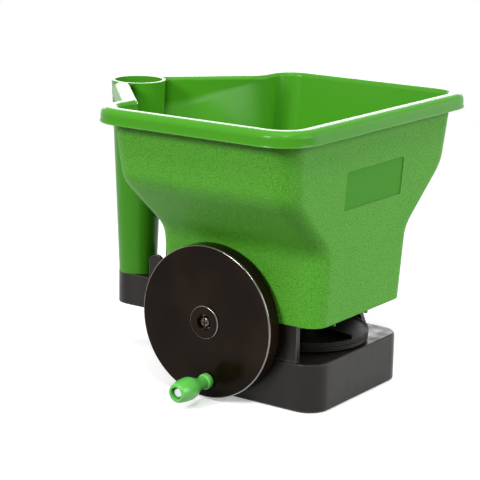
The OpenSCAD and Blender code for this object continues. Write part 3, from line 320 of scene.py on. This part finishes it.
def dull_shade_darkened_black():
    """Black plastic of the throwing disc and the agitator, duller and darker than the other black
    as painted shade, and paler along the edges as wear and painted highlight.
    """
    m, t, b, p = new_material("black_disc")
    # painted shade: a darker black than the base's, for the parts down in the shadowed throw window
    # and hopper
    col = mix(t, noise(t, p, 12, 4), rgba("#080707"), rgba("#100e0d"))
    col = edge_wear_and_highlight(t, col, "#5a5650", radius_mm=0.8, share=0.5)
    finish(t, b, col, wander(t, p, 5, low=0.4, spread=0.2))
    b.inputs["Specular IOR Level"].default_value = 0.12
    bumped(t, b, noise(t, p, 0.9, 2, 0.6), strength=0.22, depth_mm=0.1)
    return m


def gloss_black():
    """Polished black plastic with faint hairlines; a clear coat lights up the wheel's edges, which
    are also painted paler as wear and painted highlight.
    """
    m, t, b, p = new_material("black_wheel")
    edge = attribute(t, "edge")
    # brown-black with random smudges; the brown tint is a painted warm reflection
    smudge_and_reflection_tone = ramp(t, noise(t, p, 55, 2), 0.36, 0.64, rgba("#120b05"), rgba("#24180e"))
    # paler edges: wear and a painted highlight
    col = mix(t, times(t, edge, 0.3), smudge_and_reflection_tone, rgba("#6a645d"))
    hair = ramp(t, drawn_noise(t, p, 0.08, 420.0), 0.6, 0.72)
    rough = plus(t, times(t, noise(t, p, 8, 5, 0.65), 0.12), times(t, hair, 0.08))
    finish(t, b, col, plus(t, rough, 0.12))
    b.inputs["Specular IOR Level"].default_value = 0.06
    t.links.new(edge, b.inputs["Coat Weight"])
    b.inputs["Coat Roughness"].default_value = 0.16
    b.inputs["Coat IOR"].default_value = 2.2
    relief = plus(t, noise(t, p, 28, 2), times(t, hair, -0.08))
    bumped(t, b, relief, strength=0.06, depth_mm=0.25)
    return m


def steel(name, hexa, rough=0.2):
    m, t, b, p = new_material(name)
    col = mix(t, noise(t, p, 3, 3), rgba(hexa, 0.8), rgba(hexa))
    finish(t, b, col, wander(t, p, 1, low=rough, spread=0.2))
    b.inputs["Metallic"].default_value = 1.0
    bumped(t, b, noise(t, p, 0.6, 2), strength=0.1, depth_mm=0.1)
    return m


def ivory():
    """Unpainted plastic of the gears, the bushes and the shutter's guide."""
    m, t, b, p = new_material("ivory_plastic")
    col = mix(t, noise(t, p, 15, 2), rgba("#ded8c8"), rgba("#ece7da"))
    finish(t, b, col, wander(t, p, 5, low=0.3, spread=0.15))
    bumped(t, b, noise(t, p, 1.2, 2), strength=0.1, depth_mm=0.1)
    return m


LOOKS = {
    "green_plastic": green_grain(),
    "green_knob": gloss_green(),
    "black_plastic": satin_black(),
    "black_wheel": gloss_black(),
    "steel": steel("steel", "#c9ccd0"),
    "dark_steel": steel("dark_steel", "#5a5652", rough=0.1),
    "spring_steel": steel("spring_steel", "#a9abad"),
    "ivory_plastic": ivory(),
}

# Pieces


def dress(obj, slot_name):
    obj.data.materials.clear()
    obj.data.materials.append(LOOKS[slot_name])


def stand_in(obj, name):
    """Gives a piece the finish of a CAD node, hides that node and moves with its body."""
    dress(obj, SLOT[name])
    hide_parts(name)
    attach(obj, BODY[name])
    return obj


def refine(name, bevel_mm=0.0):
    """A cleaned copy of a CAD node with smooth faces and eased edges, which stands for it."""
    mesh = nodes[name].data.copy()
    obj = bpy.data.objects.new(name + "_shell", mesh)
    bpy.context.scene.collection.objects.link(obj)
    bm = bmesh.new()
    bm.from_mesh(mesh)
    bmesh.ops.remove_doubles(bm, verts=bm.verts, dist=WELD)
    flat = math.radians(FLAT_ANGLE)
    bmesh.ops.dissolve_limit(bm, angle_limit=flat, verts=bm.verts, edges=bm.edges)
    bm.to_mesh(mesh)
    bm.free()
    mesh.polygons.foreach_set("use_smooth", [True] * len(mesh.polygons))
    mesh.set_sharp_from_angle(angle=math.radians(SHARP_ANGLE))
    if bevel_mm:
        ease = obj.modifiers.new("ease", "BEVEL")
        ease.limit_method = "ANGLE"
        ease.angle_limit = math.radians(EASE_ANGLE)
        ease.width = bevel_mm * MM
        ease.segments = 2
        ease.miter_outer = "MITER_ARC"
    even = obj.modifiers.new("even", "WEIGHTED_NORMAL")
    even.keep_sharp = True
    return stand_in(obj, name)


def face_values(mesh, name, test):
    """Marks the faces that pass a test, for a material to read."""
    a = mesh.attributes.new(name, "FLOAT", "FACE")
    a.data.foreach_set("value", [1.0 if test(mesh, f) else 0.0 for f in mesh.polygons])


def on_panel(mesh, f):
    """The floor of the label recess: every corner inside its outline on the front wall."""
    corners = [mesh.vertices[v].co for v in f.vertices]
    return f.center.y < PANEL_Y and all(
        abs(c.x) < PANEL_HALF_W and abs(c.z - PANEL_Z) < PANEL_HALF_H for c in corners
    )


def on_grain(mesh, f):
    """The outer walls of the hopper, without the rim, the handle tube and the label panel."""
    c, n = f.center, f.normal
    outward = n.x * c.x + (n.y * (c.y - RIM_Y) if c.y < POCKET_Y else 0) > 0
    near_tube = math.hypot(c.x, c.y - TUBE_Y) < TUBE_REACH
    level = abs(n.z) > LEVEL_NZ
    return outward and not (near_tube or level or c.z > LIP_Z or on_panel(mesh, f))


def on_wheel_edge(mesh, f):
    """The rounded edges of the wheel's face and of its hub ring, made paler partly as wear from
    hands and partly as a painted highlight.
    """
    r = math.hypot(f.center.y - WHEEL_Y, f.center.z - WHEEL_Z)
    rounded = EDGE_NX_LOW < -f.normal.x < EDGE_NX_HIGH
    return f.center.x < WHEEL_FACE_X and rounded and r > HUB_R


def coil(name, wire=0.5 * MM, turns=9, closed=0.75, pitch=2.3, sides=10, steps=28):
    """The return spring as a round wire of radius wire.

    closed is the share of a turn that is closed at each end, and pitch the rise of such a turn
    in wire radii.
    """
    lo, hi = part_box(name)
    ring = (hi.x - lo.x) / 2 - wire
    start, run = lo.y + wire, hi.y - lo.y - 2 * wire
    cx, cz = (lo.x + hi.x) / 2, (lo.z + hi.z) / 2
    count = turns * steps
    end_turns = closed / turns
    end_length = pitch * wire * closed / run

    def along(u):
        """Share of the length at share u of the turns: flat at both ends, even between."""
        if u < end_turns:
            return end_length * u / end_turns
        if u > 1 - end_turns:
            return 1 - end_length * (1 - u) / end_turns
        return end_length + (1 - 2 * end_length) * (u - end_turns) / (1 - 2 * end_turns)

    verts, faces = [], []
    for i in range(count + 1):
        u = i / count
        a = 2 * math.pi * turns * u
        out = Vector((math.cos(a), 0, math.sin(a)))
        middle = Vector((cx, start + run * along(u), cz)) + out * ring
        for k in range(sides):
            w = 2 * math.pi * k / sides
            verts.append(middle + wire * (math.cos(w) * out + math.sin(w) * Vector((0, 1, 0))))
    for i in range(count):
        this, following = i * sides, (i + 1) * sides
        for k in range(sides):
            h = (k + 1) % sides
            faces.append((this + k, this + h, following + h, following + k))
    faces.append(tuple(range(sides))[::-1])
    faces.append(tuple(count * sides + k for k in range(sides)))
    mesh = bpy.data.meshes.new("spring_wire")
    mesh.from_pydata(verts, [], faces)
    mesh.polygons.foreach_set("use_smooth", [len(f) == 4 for f in faces])
    obj = bpy.data.objects.new("spring_wire", mesh)
    bpy.context.scene.collection.objects.link(obj)
    return stand_in(obj, name)


hopper = refine("hopper").data
hopper.materials.append(green_smooth())
kinds = [GRAIN if on_grain(hopper, f) else SMOOTH for f in hopper.polygons]
hopper.polygons.foreach_set("material_index", kinds)
face_values(hopper, "panel", on_panel)
for n in EASED:
    refine(n, bevel_mm=EASE_MM)
face_values(refine("crank_wheel").data, "edge", on_wheel_edge)
dull_shaded_black = dull_shade_darkened_black()
for n in DULL_SHADE_DARKENED:
    refine(n).data.materials[0] = dull_shaded_black
for n in PLAIN:
    refine(n)
spring = coil("return_spring")
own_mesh(spring)
for n, o in nodes.items():
    if not o.hide_render:
        dress(o, SLOT[n])

# Stage


def make_camera():
    az, el, roll = (math.radians(a) for a in (CAMERA_AZIMUTH, CAMERA_ELEVATION, CAMERA_ROLL))
    back = Vector((math.sin(az) * math.cos(el), -math.cos(az) * math.cos(el), math.sin(el)))
    right = Vector((math.cos(az), math.sin(az), 0))
    up = back.cross(right)
    r = right * math.cos(roll) + up * math.sin(roll)
    u = up * math.cos(roll) - right * math.sin(roll)
    data = bpy.data.cameras.new("camera")
    data.sensor_fit = "HORIZONTAL"
    data.sensor_width = CAMERA_SENSOR
    data.lens = CAMERA_LENS
    data.clip_start = 0.05
    data.clip_end = 60
    cam = bpy.data.objects.new("camera", data)
    m = Matrix((r, u, back)).transposed().to_4x4()
    m.translation = Vector(CAMERA_AT)
    cam.matrix_world = m
    bpy.context.scene.collection.objects.link(cam)
    bpy.context.scene.camera = cam


def seen(t):
    """1 for rays that show the white background, 0 for those that light the object."""
    path = t.nodes.new("ShaderNodeLightPath").outputs
    shown = math_node(t, "MAXIMUM", path["Is Camera Ray"], path["Is Glossy Ray"])
    return math_node(t, "MAXIMUM", shown, path["Is Transmission Ray"])


def make_floor():
    """A pale disc that fades into the white background and isn't seen from below."""
    bpy.ops.mesh.primitive_circle_add(
        vertices=96, radius=FLOOR_R, fill_type="NGON", location=(0, 0, FLOOR_Z)
    )
    floor = bpy.context.object
    floor.name = "floor"
    m, t, b, p = new_material("floor")
    shown = seen(t)
    t.links.new(mix(t, shown, FLOOR_LIT, FLOOR_SHOWN), b.inputs["Base Color"])
    b.inputs["Emission Color"].default_value = WHITE
    t.links.new(times(t, shown, FLOOR_GLOW), b.inputs["Emission Strength"])
    b.inputs["Roughness"].default_value = 0.9
    b.inputs["Specular IOR Level"].default_value = 0.1
    far = times(t, vector_math(t, "LENGTH", p), 1 / FADE_REACH)
    fade = ramp(t, far, FADE_FROM, FADE_TO, WHITE, BLACK)
    under = t.nodes.new("ShaderNodeNewGeometry").outputs["Backfacing"]
    t.links.new(times(t, fade, math_node(t, "SUBTRACT", 1.0, under)), b.inputs["Alpha"])
    floor.data.materials.append(m)


def make_world():
    """White where it is seen, a weak even light on the object."""
    world = bpy.data.worlds.new("studio")
    bpy.context.scene.world = world
    world.use_nodes = True
    t = world.node_tree
    t.nodes.clear()
    out = t.nodes.new("ShaderNodeOutputWorld")
    light = add(t, "ShaderNodeBackground", Color=WHITE, Strength=WORLD_LIGHT)
    white = add(t, "ShaderNodeBackground", Color=WHITE, Strength=1.0)
    both = t.nodes.new("ShaderNodeMixShader")
    t.links.new(seen(t), both.inputs[0])
    t.links.new(light.outputs[0], both.inputs[1])
    t.links.new(white.outputs[0], both.inputs[2])
    t.links.new(both.outputs[0], out.inputs[0])


def softbox(name, at, size, watts):
    data = bpy.data.lights.new(name, "AREA")
    data.shape = "RECTANGLE"
    data.size, data.size_y = size
    data.energy = watts
    o = bpy.data.objects.new(name, data)
    bpy.context.scene.collection.objects.link(o)
    turn = (Vector(at) - Vector(LAMP_AIM)).to_track_quat("Z", "Y")
    o.matrix_world = Matrix.Translation(Vector(at)) @ turn.to_matrix().to_4x4()


make_camera()
make_floor()
make_world()
for lamp in LAMPS:
    softbox(*lamp)
bpy.context.scene.view_settings.view_transform = "Standard"
